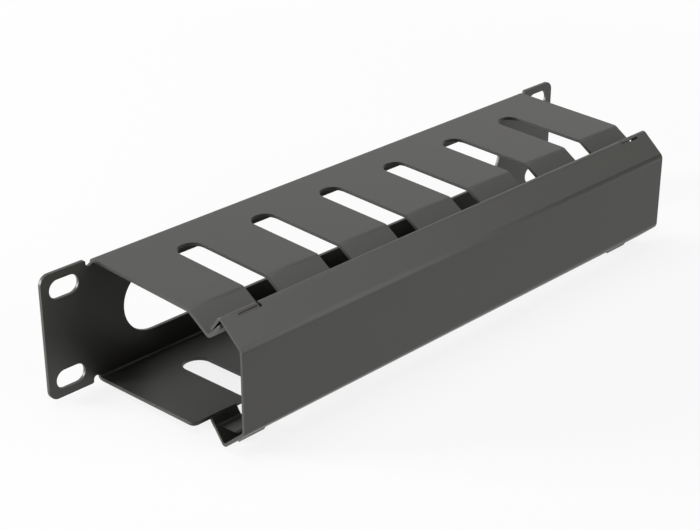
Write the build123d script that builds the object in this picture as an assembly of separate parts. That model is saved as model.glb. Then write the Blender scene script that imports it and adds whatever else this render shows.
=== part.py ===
from build123d import *
import os
from math import cos, hypot, radians, sin, tan

# Horizontal cable manager for a ten-inch rack, one rack unit high, in millimetres.
# Frame: the origin is the middle of the rear face of the back web, the face that lies on the rack's rails.
# +X runs along the panel, +Z is up and the user's side is -Y, so a place "out" mm in front of the rails is y = -out.
# Two folded sheets: the tray is screwed to the rack, and the cover hangs on its fingers.

# Driving dimensions of the tray
panel_width = 254.0         # over both ears
panel_height = 44.0         # over the back web
tray_sheet = 1.2            # thickness of the tray's sheet
ear_width = 20.0            # from the end of the folded channel to the end of the panel
tray_bend = 0.8             # inside radius of the tray's sharp bends
shoulder_bend = 1.6         # inside radius of the softer bend where a top finger turns down
web_toe_in = 1.9            # degrees by which the top and bottom webs close towards the front
shoulder_out = 47.4         # where the top fingers turn down
finger_fall = 33.0          # degrees by which a top finger falls in front of its shoulder
lip_rise = 45.0             # degrees by which a top finger's lip rises in front of its V
bottom_out = 47.2           # front edge of the bottom web
finger_corner = 2.0         # radius on the front corners of the bottom fingers
lip_corner = 1.5            # radius on the corners of the top fingers' lips
ear_corner = 3.5            # radius on the ears' outer corners
notch_width = 2.5           # bend relief between an ear and a web
notch_depth = 2.4
notch_corner = 0.8          # radius where an ear's edge turns into the relief

# Driving dimensions of the holes in the tray
screw_edge = 8.75           # from the end of the panel to the middle of its screw slots
screw_rise = 31.75          # between the rows of screw slots
screw_slot_length = 11.4
screw_slot_width = 6.6
window_end = 11.4           # from the end of the channel to the opening in the back web
window_height = 23.0
slot_count = 6              # cable slots in each web
slot_end = 27.0             # from the end of the channel to the middle of its first cable slot
slot_width = 10.0
slot_rear_out = 13.2        # rearmost point of a cable slot's round end

# Driving dimensions of the rest tabs under the cover
tab_width = 10.6
tab_setback = 4.4           # from the last slot's edge to the tab
tab_dip = 54.0              # degrees by which the tab drops from the bottom web
tab_drop = 3.0              # how far the tab drops
tab_crest_back = 1.7        # from the contact with the cover back to the tab's crest
tab_slope = 33.0            # degrees by which the tab's end falls
tab_end = 1.1               # length of the tab's end past its contact with the cover

# Driving dimensions of the cover
cover_sheet = 1.0
cover_inset = 0.55          # the cover is this much shorter than the channel at each end
cover_out = 69.9            # front face
cover_face = 28.5           # height of the flat front between its two bends
cover_height = 45.1         # over the corners of the cover's edges
cover_slope = 41.0          # degrees by which a slanted face leaves the horizontal
hook_slope = 52.5           # degrees by which a hook leaves the horizontal
front_bend = 1.8            # inside radius of the two bends beside the front face
hook_bend = 0.5             # inside radius of the hooks' bends
hook_reach = 7.4            # hook from its corner to its free edge, at the cover's end
hook_stub = 2.3             # the same on the springy part
hook_zone = 14.3            # length of a hook along the cover
hook_tip = 0.9              # from the cover's end to a hook's lowest corner
spring_root = 6.0           # from the cover's end to the closed end of the spring slit
relief_width = 1.2          # notch that ends a hook
slit_inset = 2.05           # spring slit's middle below the hook's corner
slit_width = 0.8
edge_trim = 0.25            # plain edge between the hooks, below the corner

# Fit between the two sheets
seat_gap = 0.2              # powder coat's room between the cover and what it lies on
tip_gap = 0.5               # between the tip of a lip and the inside of the cover

# Worked out from the above
half_height = panel_height / 2
tray_length = panel_width - 2 * ear_width
half_tray = tray_length / 2
screw_span = panel_width - 2 * screw_edge
window_length = tray_length - 2 * window_end
last_slot_x = half_tray - slot_end
slot_pitch = 2 * last_slot_x / (slot_count - 1)
half_cover = half_tray - cover_inset
half_face = cover_face / 2
edge_height = cover_height / 2
edge_out = cover_out - (edge_height - half_face) / tan(radians(cover_slope))
tab_inner_x = last_slot_x + slot_width / 2 + tab_setback
tab_middle_x = tab_inner_x + tab_width / 2
hook_inner_x = half_cover - hook_zone
spring_root_x = half_cover - spring_root


def heading(degrees):
    """A step of one millimetre in a side view, whose x is out and whose y is up."""
    return Vector(cos(radians(degrees)), sin(radians(degrees)))


def meet(start, way, other_start, other_way):
    """Where two lines of a side view meet, each given by a point and its heading."""
    return start + way * ((other_start - start).cross(other_way).Z / way.cross(other_way).Z)


def side_plane(x):
    """The plane of a side view at x: its own x runs to the rear, its own y upwards."""
    return Plane(origin=(x, 0, 0), x_dir=(0, 1, 0), z_dir=(1, 0, 0))


def folded(points, inside_radii, thickness, length, middle_x=0.0):
    """A sheet folded along the panel: with out to the left, it lies on the right of a line along one face."""
    corners = [Vector(-point.X, point.Y) for point in points]
    headings = [(end - start).normalized() for start, end in zip(corners, corners[1:])]
    rights = [Vector(along.Y, -along.X) for along in headings]
    behind = [corners[0] + rights[0] * thickness]
    near_radii = []
    far_radii = []
    for index, inside in enumerate(inside_radii):
        before, after = rights[index], rights[index + 1]
        behind.append(corners[index + 1] + (before + after) * (thickness / (1 + before.dot(after))))
        turns_left = headings[index].cross(headings[index + 1]).Z > 0
        near_radii.append(inside if turns_left else inside + thickness)
        far_radii.append(inside + thickness if turns_left else inside)
    behind.append(corners[-1] + rights[-1] * thickness)
    outline = FilletPolyline(*corners, radius=near_radii) + FilletPolyline(*behind, radius=far_radii)
    outline += Line(corners[0], behind[0]) + Line(corners[-1], behind[-1])
    return extrude(side_plane(middle_x - length / 2) * make_face(outline), amount=length)


def four_corners(piece):
    """The piece and its mirror images left, below and both."""
    left = mirror(piece, about=Plane.YZ)
    return [piece, left, mirror(piece, about=Plane.XY), mirror(left, about=Plane.XY)]


def web_height(out):
    """Height of the top web's outer face, which closes towards the front; the bottom web mirrors it."""
    return half_height - out * tan(radians(web_toe_in))


def bottom_inside(out):
    """The point of the bottom web's inner face at out."""
    return Vector(out, tray_sheet / cos(radians(web_toe_in)) - web_height(out))


def lip_line():
    """Upper face of the fingers' lip: its V, and its tip behind the cover's slanted face."""
    # A hook's free edge lies on the lip, a seat gap away.
    corner = Vector(edge_out, edge_height)
    hook_edge = corner - heading(hook_slope) * hook_reach + heading(hook_slope - 90) * cover_sheet
    seat = hook_edge + heading(lip_rise - 90) * seat_gap
    shoulder = Vector(shoulder_out, web_height(shoulder_out))
    v_corner = meet(seat, heading(lip_rise), shoulder, heading(-finger_fall))
    inside = corner - heading(90 - cover_slope) * (cover_sheet + tip_gap)
    tip = meet(seat, heading(lip_rise), inside, heading(-cover_slope))
    return v_corner, tip


def tab_line():
    """Upper face of a rest tab: dip, crest, contact and tip, under the round bottom edge of the cover."""
    web_front = bottom_inside(bottom_out)
    foot = web_front + heading(-tab_dip) * (tab_drop / sin(radians(tab_dip)))
    # The end is tangent to the hook's bend, a seat gap away.
    inward = (heading(cover_slope) + heading(180 - hook_slope)).normalized()
    half_bend = radians(180 - cover_slope - hook_slope) / 2
    bend_outside = cover_sheet + hook_bend
    bend_middle = Vector(edge_out, -edge_height) + inward * (bend_outside / sin(half_bend))
    contact = bend_middle - heading(90 - tab_slope) * (bend_outside + seat_gap)
    crest = contact - heading(-tab_slope) * tab_crest_back
    tip = contact + heading(-tab_slope) * tab_end
    return web_front, foot, crest, tip


def tray_channel():
    """The folded channel: lips, falling fingers, top web, back web and bottom web, still without slots."""
    v_corner, tip = lip_line()
    points = [
        tip,
        v_corner,
        Vector(shoulder_out, web_height(shoulder_out)),
        Vector(0, half_height),
        Vector(0, -half_height),
        Vector(bottom_out, -web_height(bottom_out)),
    ]
    return folded(points, [tray_bend, shoulder_bend, tray_bend, tray_bend], tray_sheet, tray_length)


def rest_tab(middle_x):
    """One rest tab, with the strip of the bottom web that it grows from."""
    web_front, foot, crest, tip = tab_line()
    points = [tip, crest, foot, web_front, bottom_inside(slot_rear_out)]
    return folded(points, 3 * [tray_bend], tray_sheet, tab_width, middle_x)


def ear_sheet():
    """The flat sheet in the plane of the back web that carries both ears, with the bend reliefs beside the webs."""
    outline = RectangleRounded(panel_width, panel_height, ear_corner)
    bend_rise = tray_bend + tray_sheet
    relief_x = half_tray + notch_width / 2
    relief_rise = notch_depth - notch_width / 2
    for side_z in (-1, 1):
        # Between the ears the flat sheet ends where the bends of the webs begin.
        outline -= Pos(0, side_z * (half_height - bend_rise / 2)) * Rectangle(2 * relief_x, bend_rise)
        for side_x in (-relief_x, relief_x):
            bottom = Pos(side_x, side_z * (half_height - relief_rise)) * Circle(notch_width / 2)
            mouth = Pos(side_x, side_z * (half_height - relief_rise / 2)) * Rectangle(notch_width, relief_rise)
            outline -= bottom + mouth
    ear_edges = outline.vertices().filter_by(
        lambda v: abs(abs(v.X) - half_tray - notch_width) < 0.01 and abs(abs(v.Y) - half_height) < 0.01
    )
    outline = fillet(ear_edges, notch_corner)
    upright = Plane(origin=(0, 0, 0), x_dir=(1, 0, 0), z_dir=(0, -1, 0))
    return extrude(upright * outline, amount=tray_sheet)


def sheet_corners(tray, middle):
    """The short edges through the tray's sheet along a front edge, given by its middle in the side view."""
    return tray.edges().filter_by(
        lambda edge: abs(edge.length - tray_sheet) < 0.01
        and hypot(edge.center().Y + middle.X, edge.center().Z - middle.Y) < tray_sheet / 4
    )


def tray_body():
    """The whole tray: one sheet with its slots, window and screw slots cut."""
    tray = tray_channel() + ear_sheet() + rest_tab(tab_middle_x) + rest_tab(-tab_middle_x)
    slot_run = cover_out - slot_rear_out
    slot_shape = Pos(0, -slot_rear_out - slot_width / 2) * Circle(slot_width / 2)
    slot_shape += Pos(0, -slot_rear_out - (slot_width + slot_run) / 2) * Rectangle(slot_width, slot_run)
    cutter = extrude(slot_shape, amount=panel_height, both=True)
    for index in range(slot_count):
        tray -= Pos(index * slot_pitch - last_slot_x, 0, 0) * cutter
    upright = Plane(origin=(0, 0, 0), x_dir=(1, 0, 0), z_dir=(0, -1, 0))
    tray -= extrude(upright * SlotOverall(window_length, window_height), amount=tray_sheet)
    screw_slot = extrude(upright * SlotOverall(screw_slot_length, screw_slot_width), amount=tray_sheet)
    for hole in GridLocations(screw_span, screw_rise, 2, 2):
        tray -= Pos(hole.position.X, 0, hole.position.Y) * screw_slot
    lip_front = lip_line()[1] + heading(lip_rise - 90) * (tray_sheet / 2)
    tray = fillet(sheet_corners(tray, lip_front), lip_corner)
    web_front = Vector(bottom_out, -web_height(bottom_out)) + heading(90 + web_toe_in) * (tray_sheet / 2)
    return fillet(sheet_corners(tray, web_front), finger_corner)


def cover_profile():
    """The cover's sheet, hooked along both edges from end to end."""
    top = Vector(edge_out, edge_height)
    bottom = Vector(edge_out, -edge_height)
    points = [
        bottom + heading(180 - hook_slope) * hook_reach,
        bottom,
        Vector(cover_out, -half_face),
        Vector(cover_out, half_face),
        top,
        top - heading(hook_slope) * hook_reach,
    ]
    return folded(points, [hook_bend, front_bend, front_bend, hook_bend], cover_sheet, 2 * half_cover)


def cover_body():
    """The cover, with hooks only at its four corners, each on a springy strip."""
    cover = cover_profile()
    # On this plane x runs along the panel and y up the slanted face, from the upper hook's corner.
    slope = radians(cover_slope)
    slant = Plane(origin=(0, -edge_out, edge_height), x_dir=(1, 0, 0), z_dir=(0, -sin(slope), cos(slope)))
    plain_width = 2 * (hook_inner_x - relief_width)
    plain = Pos(0, hook_reach / 2 - edge_trim) * Rectangle(plain_width, hook_reach)
    trimmed = extrude(slant * plain, amount=cover_sheet, both=True)
    behind = slant.offset(-cover_sheet) * Rectangle(plain_width, hook_reach)
    trimmed += extrude(behind, amount=-hook_reach)
    slit_foot = -slit_inset - slit_width / 2
    relief = Pos(hook_inner_x - relief_width / 2, slit_foot + hook_reach / 2) * Rectangle(relief_width, hook_reach)
    slit_run = spring_root_x - hook_inner_x + relief_width
    slit = Pos(spring_root_x - slit_run / 2, -slit_inset) * Rectangle(slit_run, slit_width)
    relief_cut = extrude(slant * relief, amount=-hook_reach - cover_sheet) + extrude(slant * relief, amount=cover_sheet)
    slit_cut = extrude(slant * slit, amount=-cover_sheet - hook_bend) + extrude(slant * slit, amount=cover_sheet)
    # On this plane x runs along the panel and y up the hook, to its corner.
    tilt = radians(hook_slope)
    hook_face = Plane(origin=(0, -edge_out, edge_height), x_dir=(1, 0, 0), z_dir=(0, -sin(tilt), -cos(tilt)))
    tip_x = half_cover - hook_tip
    taper = Polygon(
        (hook_inner_x - relief_width, -hook_stub),
        (tip_x - hook_reach + hook_stub, -hook_stub),
        (tip_x, -hook_reach),
        (tip_x, -hook_reach - cover_sheet),
        (hook_inner_x - relief_width, -hook_reach - cover_sheet),
        align=None,
    )
    taper_cut = extrude(hook_face * taper, amount=2 * cover_sheet, both=True)
    for piece in four_corners(relief_cut + slit_cut + taper_cut):
        cover -= piece
    cover -= trimmed
    cover -= mirror(trimmed, about=Plane.XY)
    return cover


if __name__ == "__main__":
    os.makedirs("parts", exist_ok=True)
    export_step(tray_body(), "parts/tray.step")
    export_step(cover_body(), "parts/cover.step")
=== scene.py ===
"""Looks of a horizontal cable manager: a slotted tray and a hook-on cover, both of powder-coated steel.

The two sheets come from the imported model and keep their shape. This script rounds their cut edges as the
coat does, gives them the coat's fine texture, and stands them in a white studio, seen as in the photograph.
"""

import logging
from dataclasses import dataclass, field
from enum import Enum
from math import cos, radians
from typing import Any

import bmesh
import bpy
from mathutils import Matrix, Vector


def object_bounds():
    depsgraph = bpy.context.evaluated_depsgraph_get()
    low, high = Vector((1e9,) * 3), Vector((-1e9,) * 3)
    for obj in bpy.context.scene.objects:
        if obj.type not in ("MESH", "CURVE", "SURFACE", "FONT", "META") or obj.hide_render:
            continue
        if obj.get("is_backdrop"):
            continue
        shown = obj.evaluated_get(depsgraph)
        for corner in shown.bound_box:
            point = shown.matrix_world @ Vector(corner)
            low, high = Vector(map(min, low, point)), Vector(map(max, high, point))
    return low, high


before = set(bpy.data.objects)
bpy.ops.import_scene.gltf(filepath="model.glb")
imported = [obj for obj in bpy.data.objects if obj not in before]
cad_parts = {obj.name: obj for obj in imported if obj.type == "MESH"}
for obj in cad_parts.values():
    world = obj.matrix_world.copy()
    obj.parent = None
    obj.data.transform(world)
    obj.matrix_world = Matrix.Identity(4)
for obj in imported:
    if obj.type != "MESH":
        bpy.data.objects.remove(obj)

MM = 0.001
IMAGE_WIDTH = 700
IMAGE_HEIGHT = 530
WHITE = (1.0, 1.0, 1.0, 1.0)

log = logging.getLogger("cable_manager")


class Part(Enum):
    """The two sheets, by their nodes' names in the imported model."""

    TRAY = "tray"
    COVER = "cover"


class Blend(Enum):
    """What a Mix node mixes: its data type, the numbers of its two inputs and that of its output."""

    NUMBER = ("FLOAT", 2, 3, 0)
    COLOUR = ("RGBA", 6, 7, 2)


def linear(colour: str) -> tuple[float, float, float, float]:
    """Turns an sRGB hex colour to linear light.

    Args:
        colour: six hex digits after a hash sign.

    Returns:
        Linear red, green, blue and an alpha of 1.
    """
    channels = [int(colour[i : i + 2], 16) / 255 for i in (1, 3, 5)]
    red, green, blue = (c / 12.92 if c <= 0.04045 else ((c + 0.055) / 1.055) ** 2.4 for c in channels)
    return (red, green, blue, 1.0)


def add_node(
    tree: bpy.types.NodeTree,
    kind: str,
    settings: dict[str | int, Any],
    links: dict[str | int, bpy.types.NodeSocket],
) -> bpy.types.Node:
    """Adds one node, sets it and links it.

    Args:
        tree: the tree that gets the node.
        kind: the node's type, such as ShaderNodeMix.
        settings: values by property name, or by input socket's name or number.
        links: for an input socket's name or number, the output socket that feeds it.

    Returns:
        The new node.
    """
    node = tree.nodes.new(kind)
    for key, value in settings.items():
        if isinstance(key, str) and hasattr(node, key):
            setattr(node, key, value)
        else:
            node.inputs[key].default_value = value
    for key, source in links.items():
        tree.links.new(source, node.inputs[key])
    return node


def mix(
    tree: bpy.types.NodeTree, blend: Blend, factor: bpy.types.NodeSocket, first: Any, second: Any
) -> bpy.types.NodeSocket:
    """Adds a mix of two values.

    Args:
        tree: the tree that gets the node.
        blend: whether numbers or colours are mixed.
        factor: the output socket that says how much of the second value is taken.
        first: an output socket, or a constant.
        second: an output socket, or a constant.

    Returns:
        The output socket with the mix.
    """
    data_type, first_input, second_input, output = blend.value
    values = {first_input: first, second_input: second}
    links = {number: value for number, value in values.items() if isinstance(value, bpy.types.NodeSocket)}
    constants = {number: value for number, value in values.items() if number not in links}
    node = add_node(tree, "ShaderNodeMix", {"data_type": data_type, **constants}, {0: factor, **links})
    return node.outputs[output]


def combine(
    tree: bpy.types.NodeTree, operation: str, first: bpy.types.NodeSocket, second: bpy.types.NodeSocket
) -> bpy.types.NodeSocket:
    """Adds a sum, a product or a maximum of two numbers, as the Math node's operation says."""
    return add_node(tree, "ShaderNodeMath", {"operation": operation}, {0: first, 1: second}).outputs["Value"]


def smooth_step(
    tree: bpy.types.NodeTree,
    value: bpy.types.NodeSocket,
    span: tuple[float, float],
    levels: tuple[float, float],
) -> bpy.types.NodeSocket:
    """Adds a number that passes smoothly from one level to another.

    Args:
        tree: the tree that gets the node.
        value: the output socket that drives the passage.
        span: the driving values at which the passage begins and ends.
        levels: the result before and after the passage.

    Returns:
        The output socket with the result.
    """
    settings = {
        "interpolation_type": "SMOOTHSTEP",
        "From Min": span[0],
        "From Max": span[1],
        "To Min": levels[0],
        "To Max": levels[1],
    }
    return add_node(tree, "ShaderNodeMapRange", settings, {"Value": value}).outputs["Result"]


def in_reflections(tree: bpy.types.NodeTree, path: bpy.types.Node) -> bpy.types.NodeSocket:
    """Adds a number that is 1 for the rays of reflections and of glass, and 0 for all others."""
    return combine(tree, "MAXIMUM", path.outputs["Is Glossy Ray"], path.outputs["Is Transmission Ray"])


@dataclass(frozen=True)
class PowderCoat:
    """Polyester powder baked on steel: a fine matt skin with slight orange peel."""

    name: str = "powder_coated_steel"
    # The coat's own grey, and the tone of its finest grains.
    colour: str = "#2a2a26"
    grain_colour: str = "#33322e"
    roughness: float = 0.45
    roughness_swing: float = 0.06
    refraction: float = 1.5
    # Size of the skin's grain and of the slow waves under it, as a fingertip would feel them.
    # The grain is really about 0.1 mm; it is drawn coarser so that it shows in the render.
    grain_mm: float = 0.35
    grain_detail: float = 2.0
    grain_height_mm: float = 0.006
    wave_mm: float = 2.6
    wave_detail: float = 1.0
    wave_height_mm: float = 0.008

    def material(self) -> bpy.types.Material:
        """Builds the coat's node material on Object coordinates."""
        coat = bpy.data.materials.new(self.name)
        coat.use_nodes = True
        tree = coat.node_tree
        tree.nodes.clear()
        place = add_node(tree, "ShaderNodeTexCoord", {}, {}).outputs["Object"]
        grain = self.noise(tree, place, self.grain_mm, self.grain_detail)
        wave = self.noise(tree, place, self.wave_mm, self.wave_detail)
        tone = mix(tree, Blend.COLOUR, grain, linear(self.colour), linear(self.grain_colour))
        gloss = add_node(
            tree,
            "ShaderNodeMapRange",
            {
                "To Min": self.roughness - self.roughness_swing,
                "To Max": self.roughness + self.roughness_swing,
            },
            {"Value": grain},
        )
        waves = add_node(
            tree,
            "ShaderNodeBump",
            {"Strength": 1.0, "Distance": self.wave_height_mm * MM},
            {"Height": wave},
        )
        skin = add_node(
            tree,
            "ShaderNodeBump",
            {"Strength": 1.0, "Distance": self.grain_height_mm * MM},
            {"Height": grain, "Normal": waves.outputs["Normal"]},
        )
        surface = add_node(
            tree,
            "ShaderNodeBsdfPrincipled",
            {"Metallic": 0.0, "IOR": self.refraction},
            {"Base Color": tone, "Roughness": gloss.outputs["Result"], "Normal": skin.outputs["Normal"]},
        )
        add_node(tree, "ShaderNodeOutputMaterial", {}, {"Surface": surface.outputs["BSDF"]})
        return coat

    @staticmethod
    def noise(
        tree: bpy.types.NodeTree, place: bpy.types.NodeSocket, size_mm: float, detail: float
    ) -> bpy.types.NodeSocket:
        """Adds noise of one size.

        Args:
            tree: the coat's tree.
            place: the output socket with the Object coordinates.
            size_mm: the size of the noise's cells.
            detail: how many finer noises are added to it.

        Returns:
            The output socket with the noise.
        """
        settings = {"Scale": 1 / (size_mm * MM), "Detail": detail}
        return add_node(tree, "ShaderNodeTexNoise", settings, {"Vector": place}).outputs["Fac"]


@dataclass(frozen=True)
class StudioPaper:
    """White background paper: the object's shadow on it stays pale, and it fades to white further away."""

    name: str = "studio_paper"
    colour: str = "#f4f4f4"
    # Share of plain white in what the camera sees of the paper near the object and far from it, and the
    # distances in metres between which it rises. The rest is the paper's lit surface.
    seen_white: tuple[float, float] = (0.84, 1.0)
    fade_reach: tuple[float, float] = (0.15, 0.60)
    # The same share for reflections, on the left and on the right, and where it passes from one to the other.
    mirrored_white: tuple[float, float] = (1.0, 0.35)
    mirrored_reach: tuple[float, float] = (-0.12, 0.28)

    def material(self) -> bpy.types.Material:
        """Builds the paper's material: a matt surface, whitened for the rays that show the background."""
        paper = bpy.data.materials.new(self.name)
        paper.use_nodes = True
        tree = paper.node_tree
        tree.nodes.clear()
        matt = add_node(tree, "ShaderNodeBsdfDiffuse", {"Color": linear(self.colour)}, {})
        white = add_node(tree, "ShaderNodeEmission", {"Color": WHITE, "Strength": 1.0}, {})
        path = add_node(tree, "ShaderNodeLightPath", {}, {})
        place = add_node(tree, "ShaderNodeTexCoord", {}, {}).outputs["Object"]
        reach = add_node(tree, "ShaderNodeVectorMath", {"operation": "LENGTH"}, {0: place}).outputs["Value"]
        across = add_node(tree, "ShaderNodeSeparateXYZ", {}, {"Vector": place}).outputs["X"]
        seen = smooth_step(tree, reach, self.fade_reach, self.seen_white)
        mirrored = smooth_step(tree, across, self.mirrored_reach, self.mirrored_white)
        share = combine(
            tree,
            "MAXIMUM",
            combine(tree, "MULTIPLY", path.outputs["Is Camera Ray"], seen),
            combine(tree, "MULTIPLY", in_reflections(tree, path), mirrored),
        )
        surface = add_node(
            tree,
            "ShaderNodeMixShader",
            {},
            {0: share, 1: matt.outputs["BSDF"], 2: white.outputs["Emission"]},
        )
        add_node(tree, "ShaderNodeOutputMaterial", {}, {"Surface": surface.outputs["Shader"]})
        return paper


@dataclass
class Sheet:
    """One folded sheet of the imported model, with the rounding that the coat gives its cut edges."""

    part: Part
    coat: bpy.types.Material
    # Radius that shears, deburring and a layer of powder leave on an edge.
    edge_radius_mm: float = 0.16
    edge_steps: int = 2
    # Facets of one bend meet at less than this, and sheared edges at more.
    sharp_degrees: float = 40.0
    # Facets that meet at less than this are one plane, and corners nearer than this are one point.
    flat_degrees: float = 0.5
    weld_distance: float = 1e-6

    def dress(self) -> bpy.types.Object:
        """Rounds the sheet's edges and coats it.

        Returns:
            The sheet's own object from the frame, unmoved.
        """
        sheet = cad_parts[self.part.value]
        weld = sheet.modifiers.new("weld", "WELD")
        weld.merge_threshold = self.weld_distance
        plain = sheet.modifiers.new("plain_faces", "DECIMATE")
        plain.decimate_type = "DISSOLVE"
        plain.angle_limit = radians(self.flat_degrees)
        edges = sheet.modifiers.new("coated_edges", "BEVEL")
        edges.limit_method = "ANGLE"
        edges.angle_limit = radians(self.sharp_degrees)
        edges.width = self.edge_radius_mm * MM
        edges.segments = self.edge_steps
        sheet.data.materials.clear()
        sheet.data.materials.append(self.coat)
        return sheet


@dataclass
class CableManager:
    """The whole object: the tray that is screwed to the rack and the cover that hangs on its fingers."""

    finish: PowderCoat = field(default_factory=PowderCoat)

    def build(self) -> list[bpy.types.Object]:
        """Dresses both sheets.

        Returns:
            The objects, tray first.
        """
        coat = self.finish.material()
        return [Sheet(part, coat).dress() for part in Part]


@dataclass(frozen=True)
class Softbox:
    """One square soft lamp that looks at the object."""

    name: str
    place: tuple[float, float, float]
    size: float
    watts: float

    def hang(self) -> bpy.types.Object:
        """Creates the lamp in the scene.

        Returns:
            The lamp's object.
        """
        data = bpy.data.lights.new(self.name, "AREA")
        data.size = self.size
        data.energy = self.watts
        lamp = bpy.data.objects.new(self.name, data)
        lamp.location = self.place
        lamp.rotation_mode = "QUATERNION"
        lamp.rotation_quaternion = (-Vector(self.place)).to_track_quat("-Z", "Y")
        bpy.context.scene.collection.objects.link(lamp)
        return lamp


@dataclass(frozen=True)
class Window:
    """A bright window of the room that only reflections show."""

    way: tuple[float, float, float] = (0.40, -0.40, 0.82)
    strength: float = 4.2
    # Angles from its middle at which it begins to fade and is gone.
    inner_degrees: float = 6.0
    outer_degrees: float = 26.0

    def glow(self, tree: bpy.types.NodeTree, way: bpy.types.NodeSocket) -> bpy.types.NodeSocket:
        """Adds the window's strength.

        Args:
            tree: the world's tree.
            way: the output socket with the direction that a ray takes.

        Returns:
            The output socket with the strength in that direction.
        """
        settings = {"operation": "DOT_PRODUCT", 1: self.way}
        nearness = add_node(tree, "ShaderNodeVectorMath", settings, {0: way}).outputs["Value"]
        span = (cos(radians(self.outer_degrees)), cos(radians(self.inner_degrees)))
        return smooth_step(tree, nearness, span, (0.0, self.strength))


@dataclass
class Studio:
    """White paper under the object, a white backdrop behind it, a dim room in front and three soft lamps."""

    floor_height: float
    paper: StudioPaper = field(default_factory=StudioPaper)
    floor_size: float = 6.0
    # The object stands between the room, on the user's side, and the backdrop, on its rack side.
    # Strengths of the two, room first: as light on the object, and as reflections show them.
    fill: tuple[float, float] = (0.17, 0.05)
    mirrored: tuple[float, float] = (0.05, 1.0)
    # Sines of the angles between which the room passes into the backdrop.
    passage: tuple[float, float] = (-0.25, 0.35)
    window: Window = Window()
    lamps: tuple[Softbox, ...] = (
        Softbox("overhead", (-0.15, 0.20, 1.3), 1.0, 9.0),
        Softbox("front_right", (1.00, -2.40, 0.80), 2.0, 44.0),
        Softbox("rear_left", (-1.20, 1.10, 0.30), 0.6, 46.0),
    )

    def floor(self) -> bpy.types.Object:
        """Lays the paper under the object and marks it as stage."""
        shape = bmesh.new()
        bmesh.ops.create_grid(shape, x_segments=1, y_segments=1, size=self.floor_size / 2)
        bmesh.ops.translate(shape, vec=Vector((0, 0, self.floor_height)), verts=shape.verts)
        mesh = bpy.data.meshes.new("floor")
        shape.to_mesh(mesh)
        shape.free()
        floor = bpy.data.objects.new("floor", mesh)
        floor.data.materials.append(self.paper.material())
        bpy.context.scene.collection.objects.link(floor)
        floor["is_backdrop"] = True
        return floor

    def world(self) -> None:
        """Puts little fill on the object, and a white backdrop where the camera or a reflection meets it."""
        world = bpy.data.worlds.new("studio")
        bpy.context.scene.world = world
        world.use_nodes = True
        tree = world.node_tree
        tree.nodes.clear()
        way = add_node(tree, "ShaderNodeTexCoord", {}, {}).outputs["Generated"]
        side = add_node(tree, "ShaderNodeSeparateXYZ", {}, {"Vector": way}).outputs["Y"]
        path = add_node(tree, "ShaderNodeLightPath", {}, {})
        fill = smooth_step(tree, side, self.passage, self.fill)
        walls = smooth_step(tree, side, self.passage, self.mirrored)
        mirrored = combine(tree, "ADD", walls, self.window.glow(tree, way))
        unseen = mix(tree, Blend.NUMBER, in_reflections(tree, path), fill, mirrored)
        strength = mix(tree, Blend.NUMBER, path.outputs["Is Camera Ray"], unseen, 1.0)
        sky = add_node(tree, "ShaderNodeBackground", {"Color": WHITE}, {"Strength": strength})
        add_node(tree, "ShaderNodeOutputWorld", {}, {"Surface": sky.outputs["Background"]})

    def build(self) -> None:
        """Sets the whole studio up."""
        self.floor()
        self.world()
        for lamp in self.lamps:
            lamp.hang()


@dataclass(frozen=True)
class PhotoCamera:
    """The camera of the photograph, from a pinhole model fitted to the panel's known sizes."""

    place: tuple[float, float, float] = (-0.38884, -0.38632, 0.24457)
    azimuth: float = 46.17
    elevation: float = 25.84
    roll: float = 0.15
    # Focal length and the optical axis' place in the photograph, in its pixels.
    focal_px: float = 1658.81
    centre_x_px: float = 355.11
    centre_y_px: float = 273.02
    sensor_width_mm: float = 36.0
    # Nothing nearer than this is drawn, in metres.
    nearest: float = 0.01

    def build(self) -> bpy.types.Object:
        """Creates the camera and makes it the scene's.

        Returns:
            The camera's object.
        """
        data = bpy.data.cameras.new("photo_camera")
        data.sensor_width = self.sensor_width_mm
        data.lens = self.focal_px * self.sensor_width_mm / IMAGE_WIDTH
        data.shift_x = (IMAGE_WIDTH / 2 - self.centre_x_px) / IMAGE_WIDTH
        data.shift_y = (self.centre_y_px - IMAGE_HEIGHT / 2) / IMAGE_WIDTH
        data.clip_start = self.nearest
        camera = bpy.data.objects.new("photo_camera", data)
        turn = Matrix.Rotation(radians(-self.azimuth), 4, "Z")
        tilt = Matrix.Rotation(radians(90 - self.elevation), 4, "X")
        level = Matrix.Rotation(radians(self.roll), 4, "Z")
        camera.matrix_world = Matrix.Translation(Vector(self.place)) @ turn @ tilt @ level
        bpy.context.scene.collection.objects.link(camera)
        bpy.context.scene.camera = camera
        return camera


def main() -> None:
    """Builds the object and its studio, and lays the floor at the object's lowest point."""
    logging.basicConfig(level=logging.INFO, format="%(name)s: %(message)s")
    cad_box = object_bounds()
    for piece in CableManager().build():
        log.info("dressed %s", piece.name)
    Studio(floor_height=cad_box[0].z).build()
    PhotoCamera().build()
    bpy.context.scene.view_settings.view_transform = "Standard"


if __name__ == "__main__":
    main()
